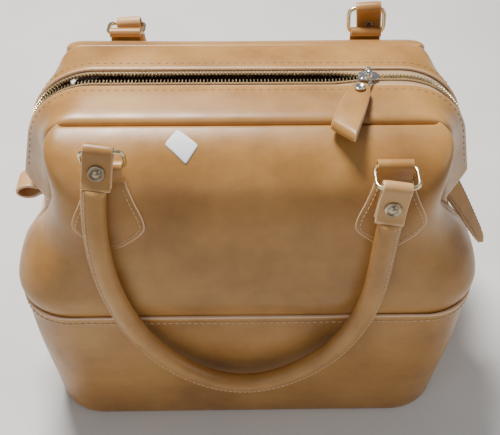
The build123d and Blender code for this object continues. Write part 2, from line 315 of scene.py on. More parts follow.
def remap(tree, source, low, high, to_low, to_high):
    node = tree.nodes.new("ShaderNodeMapRange")
    set_inputs(node, From_Min=low, From_Max=high, To_Min=to_low, To_Max=to_high)
    tree.links.new(source, node.inputs["Value"])
    return node.outputs["Result"]


def bump(tree, shader, layers):
    """Adds bumps one on another: (height, strength, distance in metres)."""
    last = None
    for height, strength, distance in layers:
        node = tree.nodes.new("ShaderNodeBump")
        set_inputs(node, Strength=strength, Distance=distance)
        tree.links.new(height, node.inputs["Height"])
        if last:
            tree.links.new(last, node.inputs["Normal"])
        last = node.outputs["Normal"]
    tree.links.new(last, shader.inputs["Normal"])


def leather_material(name, dark, middle, light, gloss=0.36, grain=0.5, scratches=0.0):
    material, tree, shader, source = node_material(name)
    blotches = noise(tree, source, 14, 4, 0.6)
    colour = ramp(tree, blotches, [(0.28, dark), (0.52, middle), (0.76, light)])
    streaks = noise(tree, source, 30, 3, 0.6, stretch=(0.25, 0.6, 2.2))
    colour = shade(tree, 0.35, colour, streaks, (0.78, 0.74, 0.70))
    speckle = noise(tree, source, 900, 2, 0.7)
    colour = shade(tree, 0.3, colour, speckle, (0.80, 0.76, 0.72), high=0.6)
    geometry = tree.nodes.new("ShaderNodeNewGeometry")
    worn = remap(tree, geometry.outputs["Pointiness"], 0.515, 0.56, 0.0, 0.45)
    colour = mix(tree, "MIX", worn, colour, (*[min(1.0, c * 1.35 + 0.03) for c in light], 1))
    if scratches:
        lines = noise(tree, source, 20, 6, 0.75, stretch=(0.5, 1.0, 22.0))
        marks = remap(tree, lines, 0.66, 0.72, 0.0, scratches)
        colour = mix(tree, "MIX", marks, colour, (*[c * 0.45 for c in dark], 1))
    tree.links.new(colour, shader.inputs["Base Color"])
    tree.links.new(remap(tree, noise(tree, source, 45, 4, 0.6), 0.3, 0.7, gloss - 0.07, gloss + 0.11),
                   shader.inputs["Roughness"])
    set_inputs(shader, Specular_IOR_Level=0.4, Coat_Weight=0.12, Coat_Roughness=0.3)
    pores = tree.nodes.new("ShaderNodeTexVoronoi")
    set_inputs(pores, Scale=1300)
    tree.links.new(source, pores.inputs["Vector"])
    bump(tree, shader, [
        (noise(tree, source, 38, 3, 0.5), 0.25, 0.0012),
        (pores.outputs["Distance"], 0.30 * grain, 0.00025),
        (speckle, 0.25 * grain, 0.0002),
    ])
    return material


def thread_material(name, light, dark):
    material, tree, shader, source = node_material(name)
    twist = noise(tree, source, 2600, 2, 0.6)
    tree.links.new(ramp(tree, twist, [(0.35, dark), (0.65, light)]), shader.inputs["Base Color"])
    set_inputs(shader, Roughness=0.62)
    bump(tree, shader, [(twist, 0.5, 0.0002)])
    return material


def metal_material(name, light, dark, roughness, tarnish=0.35):
    material, tree, shader, source = node_material(name)
    patches = noise(tree, source, 70, 4, 0.55)
    tree.links.new(ramp(tree, patches, [(0.3, dark), (0.3 + tarnish, light)]), shader.inputs["Base Color"])
    set_inputs(shader, Metallic=1.0)
    tree.links.new(remap(tree, noise(tree, source, 420, 4, 0.6), 0.3, 0.7, roughness - 0.06, roughness + 0.14),
                   shader.inputs["Roughness"])
    bump(tree, shader, [(noise(tree, source, 700, 4, 0.7), 0.06, 0.0001)])
    return material


def weave_material(name, light, dark, scale):
    material, tree, shader, source = node_material(name)
    heights = []
    for direction in ("X", "Y"):
        wave = tree.nodes.new("ShaderNodeTexWave")
        wave.bands_direction = direction
        set_inputs(wave, Scale=scale, Distortion=0.6)
        tree.links.new(source, wave.inputs["Vector"])
        heights.append(wave.outputs["Fac"])
    crossed = mix(tree, "MULTIPLY", 1.0, heights[0], heights[1])
    worn = noise(tree, source, 90, 4, 0.6)
    colour = shade(tree, 0.4, ramp(tree, crossed, [(0.1, dark), (0.6, light)]), worn, (0.75, 0.7, 0.62))
    tree.links.new(colour, shader.inputs["Base Color"])
    set_inputs(shader, Roughness=0.85, Sheen_Weight=0.3)
    bump(tree, shader, [(crossed, 0.7, 0.0004)])
    return material


def paper_material(name):
    material, tree, shader, source = node_material(name)
    fibres = noise(tree, source, 500, 4, 0.6)
    tree.links.new(ramp(tree, fibres, [(0.3, (0.78, 0.80, 0.82)), (0.7, (0.92, 0.93, 0.94))]),
                   shader.inputs["Base Color"])
    set_inputs(shader, Roughness=0.5)
    bump(tree, shader, [(fibres, 0.2, 0.0002)])
    return material


leather = leather_material("leather_tan", (0.29, 0.132, 0.034), (0.43, 0.212, 0.056), (0.54, 0.29, 0.088))
leather_base = leather_material(
    "leather_base", (0.27, 0.122, 0.032), (0.40, 0.195, 0.052), (0.50, 0.265, 0.08), scratches=0.5)
# A lighter copy of the tan leather, used as painted light on the left zip loop and on one handle tab.
leather_painted_light = leather_material(
    "leather_painted_light", (0.50, 0.27, 0.10), (0.62, 0.36, 0.15), (0.72, 0.45, 0.21), gloss=0.42)
leather_edge = leather_material(
    "leather_edge", (0.52, 0.30, 0.16), (0.64, 0.42, 0.25), (0.74, 0.52, 0.34), gloss=0.55, grain=1.2)
thread_light = thread_material("thread_light", (0.78, 0.60, 0.38), (0.52, 0.36, 0.20))
thread_dark = thread_material("thread_dark", (0.34, 0.22, 0.13), (0.17, 0.10, 0.06))
brass = metal_material("brass_pale", (0.86, 0.72, 0.44), (0.70, 0.55, 0.30), 0.2)
antique = metal_material("brass_antique", (0.60, 0.50, 0.36), (0.26, 0.19, 0.12), 0.28)
nickel = metal_material("nickel", (0.82, 0.82, 0.80), (0.66, 0.64, 0.61), 0.18)
steel = metal_material("steel", (0.55, 0.55, 0.56), (0.28, 0.27, 0.26), 0.38)
tape_cloth = weave_material("zip_tape_weave", (0.72, 0.52, 0.30), (0.40, 0.25, 0.12), 420)
rope_cloth = weave_material("core_rope", (0.70, 0.62, 0.48), (0.45, 0.37, 0.26), 300)
board = weave_material("fibreboard", (0.30, 0.22, 0.14), (0.20, 0.14, 0.08), 60)
paper = paper_material("label_paper")


# ------------------------------------------------------------------ base
BAND_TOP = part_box("base_band")[1].z / MM
BASE_HEIGHTS = (0, 64, BAND_TOP)
BASE_WIDTHS = (177, 184, 191)
BASE_DEPTHS = (112, 115, 117)
BASE_CORNER = 44
BAND_THICKNESS = 2.6


def rounded_ring(half_width, half_depth, radius, count):
    """Closed outline with rounded corners, evenly spaced, anticlockwise from the front's middle."""
    points = []
    for sx, sy, start in ((1, -1, -90), (1, 1, 0), (-1, 1, 90), (-1, -1, 180)):
        for c, s in turn(17, start, 90):
            points.append((sx * (half_width - radius) + radius * c, sy * (half_depth - radius) + radius * s))
    points = [(0, -half_depth)] + points + [(0, -half_depth)]
    return even(points, count + 1)[:-1]


def base_grid(heights, insets, count=260):
    rows = []
    for height, inset in zip(heights, insets):
        z = max(0.0, min(height, BAND_TOP))
        width = smooth_curve(z, BASE_HEIGHTS, BASE_WIDTHS) - inset
        depth = smooth_curve(z, BASE_HEIGHTS, BASE_DEPTHS) - inset
        ring = rounded_ring(width, depth, BASE_CORNER - inset, count)
        # The leather wall is not quite flat: it swells a little in long soft waves.
        angle = np.arctan2(ring[:, 1], ring[:, 0])
        swell = 0.7 * np.sin(3 * angle + z / 30) * math.sin(math.pi * z / BAND_TOP)
        ring = ring * (1 + swell / 190)[:, None]
        rows.append(np.column_stack([ring, np.full(count, height)]))
    return np.array(rows)


def make_base():
    heights = [0.3, 0.8, 2.0, 4.5, *np.linspace(9, BAND_TOP - 9, 18), BAND_TOP - 5, BAND_TOP - 2, BAND_TOP]
    insets = [4.2, 2.2, 0.8, 0.15] + [0] * 18 + [-0.2, -0.5, -0.3]
    grid = base_grid(heights, insets)
    band = shell("base_band_leather", grid, BAND_THICKNESS, leather_base, wrap_cols=True)
    # The cut top edge is rounded, burnished and paler than the skin.
    edge_path = grid[-1]
    edge_path = np.concatenate([edge_path, edge_path[:1]])
    outward = unit(np.column_stack([edge_path[:, :2], np.zeros(len(edge_path))]))
    centre = edge_path - outward * BAND_THICKNESS / 2
    rings = [ellipse_section(point, out, UP, 1.75, 1.25, 10) for point, out in zip(centre[:-1], outward[:-1])]
    edge = tube("base_band_edge", rings, leather_edge, closed=True)
    stitch_row = base_grid([BAND_TOP - 6.0], [-0.35])[0]
    stitch_row = np.concatenate([stitch_row, stitch_row[:1]])
    thread = stitches("base_band_stitches", stitch_row, outward, 5.2, thread_light, radius=0.5)
    band = join("base_band_skin", [band, edge, thread])
    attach(band, "root")
    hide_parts("base_band")


# ------------------------------------------------------------------ frame casings
CASING_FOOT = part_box("front_casing")[0].z / MM
STATION_DISTANCE = (12.5, 30, 47, 54)
STATION_TOP_HALF = (171, 164, 158, 156)
STATION_FOOT_HALF = (190, 178, 166, 161)
STATION_TOP = (299.5, 299, 297, 295.5)
STATION_RADIUS = (59, 44, 25, 17)
CASING_STITCHES = 19.0
# The casing's cross-section: distance from the middle plane, inset from the outer surface.
CASING_SECTION = (
    (13.0, 2.6), (12.5, 2.1), (12.2, 1.3), (12.4, 0.5), (13.1, 0.05), (15, 0), (18, -0.2), (22, -0.3),
    (27, -0.2), (32, 0), (37, 0), (42, -0.1), (46, -0.3), (49, -0.3), (51.2, 0), (52.8, 0.7), (53.8, 1.9),
    (54.1, 3.4), (53.7, 4.8), (52.4, 5.8), (48, 6.8), (40, 7.2), (30, 7.6), (21, 6.4), (15.5, 3.8),
)


def arch_line(half_top, half_foot, top, radius, samples, foot=CASING_FOOT):
    """An arch with rounded upper corners, from its left foot to its right foot, as points (x, z)."""
    lean = math.degrees(math.atan2(half_foot - half_top, top - foot))
    centre_x = half_top - radius * math.tan(math.radians(90 - lean) / 2)
    right = [(half_foot, foot)]
    right += [(centre_x + radius * c, top - radius + radius * s) for c, s in turn(25, lean, 90 - lean)]
    left = [(-x, z) for x, z in right]
    return even(np.array(left + right[::-1]), samples)


def arch(distance, inset=0.0, samples=150, foot=CASING_FOOT):
    """The casing's arch at a distance from the middle plane."""
    rows = (STATION_TOP_HALF, STATION_FOOT_HALF, STATION_TOP, STATION_RADIUS)
    half_top, half_foot, top, radius = (float(smooth_curve(distance, STATION_DISTANCE, row)) for row in rows)
    return arch_line(half_top - inset, half_foot - inset, top - inset, max(radius - inset, 4), samples, foot)


def arch_grid(section, side, samples=150, foot=CASING_FOOT):
    rows = []
    for distance, inset in section:
        inside = min(max(distance, STATION_DISTANCE[0]), STATION_DISTANCE[-1])
        line = arch(inside, inset, samples, foot)
        y = np.full(samples, side * distance)
        rows.append(np.column_stack([line[:, 0], y, line[:, 1]]))
    return np.array(rows)


def make_casing(side, end):
    casing = tube("casing", np.transpose(arch_grid(CASING_SECTION, side), (1, 0, 2)), leather)
    # A stitch line runs along the edge beside the zip.
    line = arch_grid([(CASING_STITCHES, -0.25)], side, 240)[0]
    middle = np.array([0, side * CASING_STITCHES, 235.0])
    normals = unit((line - middle) * [1, 0, 1])
    thread = stitches("thread", line[6:-6], normals[6:-6], 6.2, thread_dark, length=3.0, radius=0.42, lift=0.0)
    # The lip's cut edge shows paler leather.
    lip = arch_grid([(12.4, 0.3), (12.0, 0.8), (11.95, 1.6), (12.25, 2.3), (13.1, 2.4), (13.3, 0.4)], side)
    edge = tube("edge", np.transpose(lip, (1, 0, 2)), leather_edge)
    piece = join(f"{end}_casing_skin", [casing, thread, edge])
    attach(piece, f"{end}_frame")
    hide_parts(f"{end}_casing")


# ------------------------------------------------------------------ leather body
# Stations up the body: height, half depth, half width, half width at the seam, corner radius.
BODY_Z = (126, 141, 150, 162, 178, 192, 206, 222, 238, 252, 264, 274, 282, 288, 292, 292.6, 288)
BODY_B = (113.4, 114.7, 116.6, 117.4, 116.0, 114.8, 113, 110.6, 107.8, 103.6, 98.3, 91, 82, 72, 62, 56.5, 53.5)
BODY_A = (186.8, 188.6, 191.2, 192.4, 188, 179.5, 168, 158, 152.5, 151.5, 153, 155, 156, 154.5, 150, 146.5, 142)
BODY_E = (186.8, 188.6, 191.2, 192.2, 187.5, 177.5, 163, 150.5, 145, 144, 145, 147, 148, 148, 146, 144, 141)
BODY_R = (43, 42, 41, 43, 48, 52, 50, 42, 33, 27, 22, 18, 14, 10, 6, 3, 1)
SEAM_HALF = 53.0


def body_station(t):
    """Values at a share t of the way up the body's profile."""
    index = np.arange(len(BODY_Z))
    place = t * (len(BODY_Z) - 1)
    return [float(smooth_curve(place, index, row)) for row in (BODY_Z, BODY_B, BODY_A, BODY_R, BODY_E)]


def panel_row(t, side, count):
    z, depth, width, radius, edge_x = body_station(t)
    reach = depth - SEAM_HALF
    if reach < 12:
        radius = min(radius, max(reach, 0.5))
    radius = min(radius, reach) if reach > 1 else 1.0
    start = (edge_x, SEAM_HALF)
    points = [start]
    straight = depth - radius
    if straight > SEAM_HALF + 8:
        points.append((width + (edge_x - width) * 0.15, SEAM_HALF + 8))
    points += [(width - radius + radius * c, straight + radius * s) for c, s in turn(13, 0, 90)]
    half = soften(even(points + [(0, depth)], 110), 10)
    half[0] = start
    line = np.concatenate([half, half[:-1][::-1] * [-1, 1]])
    line = even(line, count)
    x = line[:, 0]
    # Long soft waves keep the leather from looking machined.
    calm = np.clip((depth - 60) / 40, 0, 1) * np.clip((z - 130) / 30, 0, 1)
    wave = 0.9 * np.sin(x / 41 + z / 23) + 0.7 * np.sin(x / 67 - z / 31 + 1.7)
    # The shoulder dips between the chapes, and the belly sags a little in the middle.
    dip = 2.2 * math.exp(-((z - 279) / 12) ** 2) * np.exp(-(x / 85) ** 2)
    bulge = 1.3 * math.exp(-((z - 160) / 22) ** 2) * np.exp(-(x / 110) ** 2)
    y = side * (line[:, 1] + calm * wave * 0.8 + bulge * calm)
    # The waist slumps a little to the left.
    x = x - 2.5 * math.exp(-((z - 228) / 26) ** 2)
    return np.column_stack([x, y, np.full(count, z) - dip * calm])


def panel_grid(side, rows=90, count=200):
    return np.array([panel_row(t, side, count) for t in np.linspace(0, 1, rows)])


def make_panel(side, end):
    grid = panel_grid(side)
    skin = shell(f"{end}_panel_leather", grid, 2.2, leather, flip=side < 0)
    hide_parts(f"{end}_panel")
    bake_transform(skin)


# The gusset's half width at its seams and the depth of its fold, by height.
GUSSET_EDGE = (127, 141, 162, 178, 192, 206, 214, 222), (186, 187.5, 191.2, 186.8, 177, 162.5, 155, 149)
GUSSET_FOLD = (127, 145, 165, 185, 205, 222), (0, 3, 14, 28, 38, 42)


def make_gusset(hand, name):
    """The side folds inward in a valley between the two panels."""
    heights = np.linspace(127, 222, 44)
    for side, end in ((-1, "front"), (1, "back")):
        rows = []
        for z in heights:
            edge = float(smooth_curve(z, *GUSSET_EDGE))
            fold = float(smooth_curve(z, *GUSSET_FOLD))
            y = np.linspace(SEAM_HALF + 1.5, -2.5, 30)
            share = np.clip(1 - np.abs(y) / SEAM_HALF, 0, 1)
            valley = np.sqrt(share ** 2 + 0.004) - 0.06
            bulge = 4.5 * np.sin(np.pi * share) * np.clip((z - 150) / 40, 0, 1)
            x = edge - fold * valley + bulge
            rows.append(np.column_stack([hand * x, side * y, np.full(len(y), z)]))
        grid = np.array(rows)
        half = shell(f"{name}_{end}_half", grid, 2.0, leather, flip=(hand * side) > 0)
        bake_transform(half)
    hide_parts(name)


make_base()
for SIDE, END in ((-1, "front"), (1, "back")):
    make_casing(SIDE, END)
    make_panel(SIDE, END)
for HAND, NAME in ((-1, "left_gusset"), (1, "right_gusset")):
    make_gusset(HAND, NAME)


# ------------------------------------------------------------------ zip
ZIP_HALF_TOP, ZIP_HALF_FOOT, ZIP_TOP, ZIP_RADIUS = 169.0, 188.0, 297.5, 59.0
SLIDER_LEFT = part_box("zip_slider")[0].x / MM
OPEN_HALF = 4.6
TOOTH_PITCH = 2.85


def zip_path(samples=900):
    """The zip's line as points (x, z), its directions and normals, distances, and the rows' half gap."""
    line = arch_line(ZIP_HALF_TOP, ZIP_HALF_FOOT, ZIP_TOP, ZIP_RADIUS, samples, CASING_FOOT + 4)
    tangent = tangents(line)
    normal = np.column_stack([-tangent[:, 1], tangent[:, 0]])
    along = lengths(line)
    meet = along[np.argmax(line[:, 0] > SLIDER_LEFT + 5)]
    opening = np.clip((along - 8) / 95, 0, 1)
    closing = np.clip((meet - along) / 26, 0, 1)
    share = np.minimum(np.sin(opening * math.pi / 2), closing ** 0.8)
    return line, tangent, normal, along, OPEN_HALF * share


def make_tape(side, end):
    line, _, normal, along, gap = (row[::4] for row in zip_path())
    rows = []
    for share in (0, 0.12, 0.3, 0.5, 0.7, 0.88, 1.0):
        y = side * ((gap + 1.9) * (1 - share) + 13.8 * share)
        ripple = 0.12 * np.sin(along / 5.5 + 2 * share) * (1 - share)
        lift = -0.6 - 0.5 * math.sin(math.pi * share) + ripple
        ridge = line + normal * lift[:, None]
        rows.append(np.column_stack([ridge[:, 0], y, ridge[:, 1]]))
    tape = shell("tape", np.array(rows), 0.8, tape_cloth, flip=side < 0)
    # A fine cord of thread holds the teeth along the tape's inner edge.
    bead = []
    for c, s in turn(9, 0, 360)[:-1]:
        ridge = line + normal * (0.1 + 0.75 * s)
        bead.append(np.column_stack([ridge[:, 0], side * (gap + 2.7 + 0.8 * c), ridge[:, 1]]))
    cord_edge = tube("bead", np.transpose(np.array(bead), (1, 0, 2)), tape_cloth)
    piece = join(f"{end}_zip_tape_woven", [tape, cord_edge])
    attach(piece, f"{end}_frame")
    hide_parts(f"{end}_zip_tape")


def make_teeth(side, end):
    """Single metal teeth: a stem clamped on the tape and a head that hooks into the other row."""
    line, tangent, normal, along, gap = zip_path()
    outline = [(3.2, 0.62), (1.5, 0.62), (0.7, 0.42), (0.1, 0.62), (-0.7, 0.60), (-1.25, 0.28)]
    verts, faces = [], []
    count = int(along[-1] / TOOTH_PITCH) - 1
    for k in range(count):
        place = (k + (0.75 if side > 0 else 0.25)) * TOOTH_PITCH
        x, z, nx, nz, tx, tz, half = (
            float(np.interp(place, along, row))
            for row in (line[:, 0], line[:, 1], normal[:, 0], normal[:, 1], tangent[:, 0], tangent[:, 1], gap)
        )
        start = len(verts)
        for reach, width in outline:
            for across, up in ((-1, -0.75), (1, -0.75), (1, 0.95), (0.6, 1.35), (-0.6, 1.35), (-1, 0.95)):
                verts.append((
                    x + tx * across * width + nx * up, side * (half + reach), z + tz * across * width + nz * up,
                ))
        faces += grid_faces(len(outline), 6, wrap_cols=True, start=start)
        faces.append(tuple(start + j for j in range(6))[::-1])
        faces.append(tuple(start + 6 * (len(outline) - 1) + j for j in range(6)))
    piece = new_object(f"{end}_zip_teeth_metal", verts, faces, brass)
    piece.data.polygons.foreach_set("use_smooth", [False] * len(piece.data.polygons))
    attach(piece, f"{end}_frame")
    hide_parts(f"{end}_zip_teeth")


def strap(name, path, widths, across, thickness, material, columns=15, crown=0.25):
    """A leather strip along a path: its meshes, outer grid and outward directions. Widths are half widths."""
    path = np.asarray(path, float)
    across = unit(across)
    out = np.cross(tangents(path), across)
    shares = np.sin(np.linspace(-math.pi / 2, math.pi / 2, columns))
    grid = np.zeros((len(path), columns, 3))
    for j, share in enumerate(shares):
        drop = crown * (1 - math.sqrt(max(0, 1 - share ** 4))) * 2.4
        grid[:, j] = path + across * (np.asarray(widths)[:, None] * share) - out * drop
    skin = shell(name, grid, thickness, material, flip=True)
    # The cut edges at both sides are paler.
    parts = [skin]
    for j, sign in ((0, -1), (columns - 1, 1)):
        centre = grid[:, j] - out * thickness * 0.5 - across * sign * 0.25
        rings = [ellipse_section(point, across, o, 0.55, thickness * 0.56, 8) for point, o in zip(centre, out)]
        parts.append(tube(name + "_edge", rings, leather_edge))
    return parts, grid, out


PULL_POINT = joint_point("zip_pull")
PULL_ACROSS = -np.array(joint("zip_pull")["axis"])
PULL_ALONG = np.cross(PULL_ACROSS, UP)


def pull_place(along, up):
    return PULL_POINT + PULL_ALONG * along + UP * up


def make_pull():
    end, inner, bend = 83.0, 22.5, 5.0
    upper = [(inner + (end - bend - inner) * share, 2.5 + 1.9 * share ** 1.3)
             for share in np.linspace(0, 1, 26)]
    fold = [(end - bend + bend * c, 4.4 * s) for c, s in turn(17, 90, -180)[1:-1]]
    profile = upper + fold + [(along, -up) for along, up in upper[::-1]]
    path = np.array([pull_place(along, up) for along, up in profile])
    along = np.array([p[0] for p in profile])
    widths = smooth_curve(along, (inner, 27, 35, 52, end), (5.2, 7.0, 8.6, 10.0, 10.6))
    widths = widths * np.clip(((along - inner + 1.4) / 5.0), 0, 1) ** 0.35
    piece = join("zip_pull_strap", strap("pull", path, widths, PULL_ACROSS, 1.7, leather)[0])
    # The soft leather droops over the frame's front edge, and its end lies askew.
    for vertex in piece.data.vertices:
        place = np.array(vertex.co) / MM - PULL_POINT
        share = max(0.0, float(place.dot(PULL_ALONG)) / end)
        aside = float(place.dot(PULL_ACROSS))
        droop = 3.0 * share ** 3 - 1.5 * math.sin(math.pi * min(share, 1)) - 0.12 * aside * share ** 2
        vertex.co = (place + PULL_ALONG * 0.62 * aside * share ** 2.5 - UP * droop + PULL_POINT) * MM
    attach(piece, "pull")
    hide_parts("zip_pull_leather")
    rivet = dome("zip_pull_rivet_cap", pull_place(32.0, 5.2), UP, 4.2, nickel, hollow=True)
    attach(rivet, "pull")
    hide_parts("zip_pull_rivet")


def plate(name, centre, half_length, half_width, profile, material):
    """A flat metal plate with a rounded outline and turned-over edges."""
    rings = []
    for share, height in profile:
        rings.append(ellipse_section(
            centre + UP * height, SIDEWAYS, BACKWARD,
            half_length * share, half_width * share, 36, power=0.62,
        ))
    return tube(name, rings, material)


def make_slider():
    low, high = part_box("zip_slider")
    middle = np.array([(low.x + high.x) / 2, (low.y + high.y) / 2, 0]) / MM
    top, under = ZIP_TOP + 1.0, ZIP_TOP - 2.2
    parts = [
        plate("upper", middle + UP * top, 8.6, 5.9,
              ((0.9, 0), (1, 0.35), (1, 0.8), (0.95, 1.25), (0.75, 1.6), (0.4, 1.85), (0.01, 1.9)), nickel),
        plate("lower", middle + UP * under, 8.6, 5.9,
              ((0.01, -1.5), (0.7, -1.4), (0.95, -1.1), (1, -0.6), (0.95, 0), (0.01, 0)), nickel),
        plate("wedge", middle + UP * under - [4.0, 0, 0], 2.8, 2.3, ((1, 0), (1, top - under)), nickel),
    ]
    # The bridge over the plate holds the pull's link.
    rings = []
    centre = SIDEWAYS * PULL_POINT[0]
    for c, s in turn(25, 0, 180):
        s = max(s, 0.0)
        place = centre + [0, -4.8 * bowed(c, 0.6), top + 1.0 + (PULL_POINT[2] + 0.9 - top) * s ** 0.6]
        normal = np.array([0, -c, s])
        rings.append(ellipse_section(place, SIDEWAYS, normal, 2.4 - 0.8 * s, 0.75, 12, power=0.8))
    parts.append(tube("bridge", rings, nickel))
    piece = join("zip_slider_body", parts)
    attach(piece, "slider")
    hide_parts("zip_slider")


def make_link():
    """A flat wire loop that joins the slider's bridge to the leather pull."""
    half_length = 13.2
    rings = []
    for c, s in turn(57, 0, 360)[:-1]:
        along = half_length * (1 + bowed(c, 0.6))
        across = (4.6 + 0.5 * c) * bowed(s, 0.6)
        out = unit(PULL_ALONG * c * 0.8 + PULL_ACROSS * s)
        rings.append(ellipse_section(pull_place(along, 0.1) + PULL_ACROSS * across, out, UP, 1.15, 0.8, 10))
    piece = tube("zip_pull_link_wire", rings, nickel, closed=True)
    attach(piece, "pull")
    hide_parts("zip_pull_link")


def dome(name, centre, axis, radius, material, hollow=False):
    """A rivet cap turned about its axis: a rim with a raised or sunk middle."""
    if hollow:
        profile = [
            (0.001, 0.6), (0.3, 0.62), (0.5, 0.7), (0.62, 1.0), (0.75, 1.45), (0.88, 1.5), (0.97, 1.15),
            (1, 0.6), (0.97, -0.3), (0.4, -0.3),
        ]
    else:
        profile = [
            (0.001, 2.9), (0.2, 2.8), (0.36, 2.45), (0.48, 1.8), (0.54, 1.2), (0.6, 0.95), (0.66, 1.15),
            (0.74, 1.75), (0.84, 1.95), (0.93, 1.7), (1, 0.9), (0.98, 0), (0.5, -0.2),
        ]
    axis = unit(axis)
    first = unit(np.cross(axis, [1.0, 0.2, 0.1]))
    second = np.cross(axis, first)
    rings = [ellipse_section(centre + axis * height, first, second, radius * reach, radius * reach, 32)
             for reach, height in profile]
    return tube(name, rings, material)


# ------------------------------------------------------------------ chapes, rings and handles
def skin_tree(side):
    grid = panel_grid(side, rows=160, count=260)
    return BVHTree.FromPolygons([Vector(p) for p in grid.reshape(-1, 3)], grid_faces(*grid.shape[:2]))


def on_skin(tree, side, x, z, lift):
    """A point on the panel, seen from the front or the back, and its outward normal."""
    hit, normal, _, _ = tree.ray_cast(Vector((x, side * 400, z)), Vector((0, -side, 0)))
    if normal.y * side < 0:
        normal = -normal
    return np.array(hit) + np.array(normal) * lift, np.array(normal)


FOLD_RADIUS = 4.7
STITCH_TOP = 266


def chape_half_width(z):
    """Half width of the patch: a trapezoid above a shallow point, with rounded corners."""
    return float(smooth_curve(
        z, (218, 219.5, 224, 229, 233, 237, 241, 256, 271), (1.5, 6.5, 14.5, 21.5, 25.6, 27, 26.4, 20, 13.2),
    ))


def make_chape(side, end, place, tree):
    loop = joint_point(f"{end}_rings_swing")
    low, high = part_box(f"{end}_{place}_chape")
    x = (low.x + high.x) / 2 / MM
    loop_y, loop_z = abs(loop[1]), loop[2]
    shares = np.sin(np.linspace(-math.pi / 2, math.pi / 2, 21))
    heights = [218.05, 218.6, 219.5, 221] + list(np.linspace(223, 270, 34))
    rows = []
    for z in heights:
        half = chape_half_width(z)
        row = []
        for share in shares:
            lift = 2.0 - 0.9 * max(0, (abs(share) - 0.9) / 0.1) ** 2
            row.append(on_skin(tree, side, x + half * share, z, lift)[0])
        rows.append(row)
    # The strip leaves the panel, goes round the ring's bar and comes back under itself.
    y_top = abs(np.mean([p[1] for p in rows[-1]]))
    turns = [(y_top + 0.9, 273.0), (loop_y + 4.3, 277.6)]
    turns += [(loop_y + FOLD_RADIUS * c, loop_z + FOLD_RADIUS * s) for c, s in turn(15, -20, 215)]
    for y, z in turns:
        rows.append([(x + 13.2 * share, side * y, z) for share in shares])
    skin = shell("chape", np.array(rows), 1.9, leather, flip=side > 0)
    # The pale cut edge and the stitches follow the patch's outline.
    right = [(chape_half_width(z), z) for z in heights[::-1]]
    outline = even(np.array(right + [(-half, z) for half, z in right[::-1]]), 130)
    tangent = tangents(outline)
    inward = np.column_stack([tangent[:, 1], -tangent[:, 0]])
    rings, border, normals = [], [], []
    for (u, z), (a, b) in zip(outline, inward):
        point, normal = on_skin(tree, side, x + u, z, 0.8)
        rings.append(ellipse_section(point, np.array([a, 0, b]), normal, 0.6, 0.9, 8))
        inner_u, inner_z = u + a * 3.2, z + b * 3.2
        if inner_z < STITCH_TOP:
            point, normal = on_skin(tree, side, x + inner_u, inner_z, 2.0)
            border.append(point)
            normals.append(normal)
    rim = tube("rim", rings, leather_edge)
    thread = stitches("thread", soften(np.array(border), 3), normals, 3.7, thread_light, radius=0.38)
    piece = join(f"{end}_{place}_chape_leather", [skin, thread, rim])
    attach(piece, "root")
    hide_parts(f"{end}_{place}_chape")


# The front handle hangs askew, and the back one is the same handle turned half round.
HANDLE_SHIFT = -1.5
TAB_LEANS = (0.30, 0.13)
GRIP_ROUTE = [
    (-113.5, -120.5, 232), (-102, -126, 165), (-71, -129, 108),
    (-4, -130, 70), (68, -129, 112), (96, -126.5, 182),
]
GRIP_RADIUS = 7.7
RIVET_DROP = 16
FLANGE_START = 0.45
RING_REACH = 107
FRONT_AXIS = -np.array(joint("front_handle_swing")["axis"])
FRONT_PIVOTS = [joint_point("front_handle_swing") + FRONT_AXIS * hand * RING_REACH / FRONT_AXIS[0]
                for hand in (-1, 1)]


def turn_round(obj):
    """Turns a finished front piece half round, to the back."""
    for vertex in obj.data.vertices:
        vertex.co = (-vertex.co.x, -vertex.co.y, vertex.co.z)


def make_ring(end, index):
    """A round wire bent into a D with bowed sides."""
    loop = joint_point("front_rings_swing")
    origin = np.array([(-1, 1)[index] * RING_REACH, loop[1], loop[2]])
    down = FRONT_PIVOTS[index] - origin
    outline = [origin + SIDEWAYS * 15.8 * bowed(c, 0.55) + down * (1 + bowed(s, 0.4)) / 2
               for c, s in turn(97, 0, 360)]
    outline = even(outline, 97)[:-1]
    tangent = unit(np.roll(outline, -1, axis=0) - np.roll(outline, 1, axis=0))
    flat = np.cross(SIDEWAYS, unit(down))
    rings = [ellipse_section(p, np.cross(t, flat), flat, 1.75, 1.75, 12) for p, t in zip(outline, tangent)]
    place = ("left", "right")[index if end == "front" else 1 - index]
    piece = tube(f"{end}_{place}_ring_wire", rings, brass, closed=True)
    if end == "back":
        turn_round(piece)
    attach(piece, f"{end}_rings")
    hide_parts(f"{end}_{place}_ring")


def clamped_spline(points, first_slope, last_slope, samples):
    """A smooth curve through the points with given end directions, cubic between them."""
    points = np.asarray(points, float)
    t = lengths(points)
    n = len(points)
    matrix, right = np.zeros((n, n)), np.zeros((n, 3))
    matrix[0, 0] = matrix[-1, -1] = 1
    right[0], right[-1] = first_slope, last_slope
    for i in range(1, n - 1):
        h0, h1 = t[i] - t[i - 1], t[i + 1] - t[i]
        matrix[i, i - 1:i + 2] = (h1, 2 * (h0 + h1), h0)
        right[i] = 3 * (h1 * (points[i] - points[i - 1]) / h0 + h0 * (points[i + 1] - points[i]) / h1)
    slopes = np.linalg.solve(matrix, right)
    out = []
    for place in np.linspace(0, t[-1], samples):
        i = min(np.searchsorted(t, place, side="right") - 1, n - 2)
        h = t[i + 1] - t[i]
        u = (place - t[i]) / h
        out.append(points[i] * (1 + 2 * u) * (1 - u) ** 2 + slopes[i] * h * u * (1 - u) ** 2
                   + points[i + 1] * u * u * (3 - 2 * u) + slopes[i + 1] * h * u * u * (u - 1))
    return np.array(out)


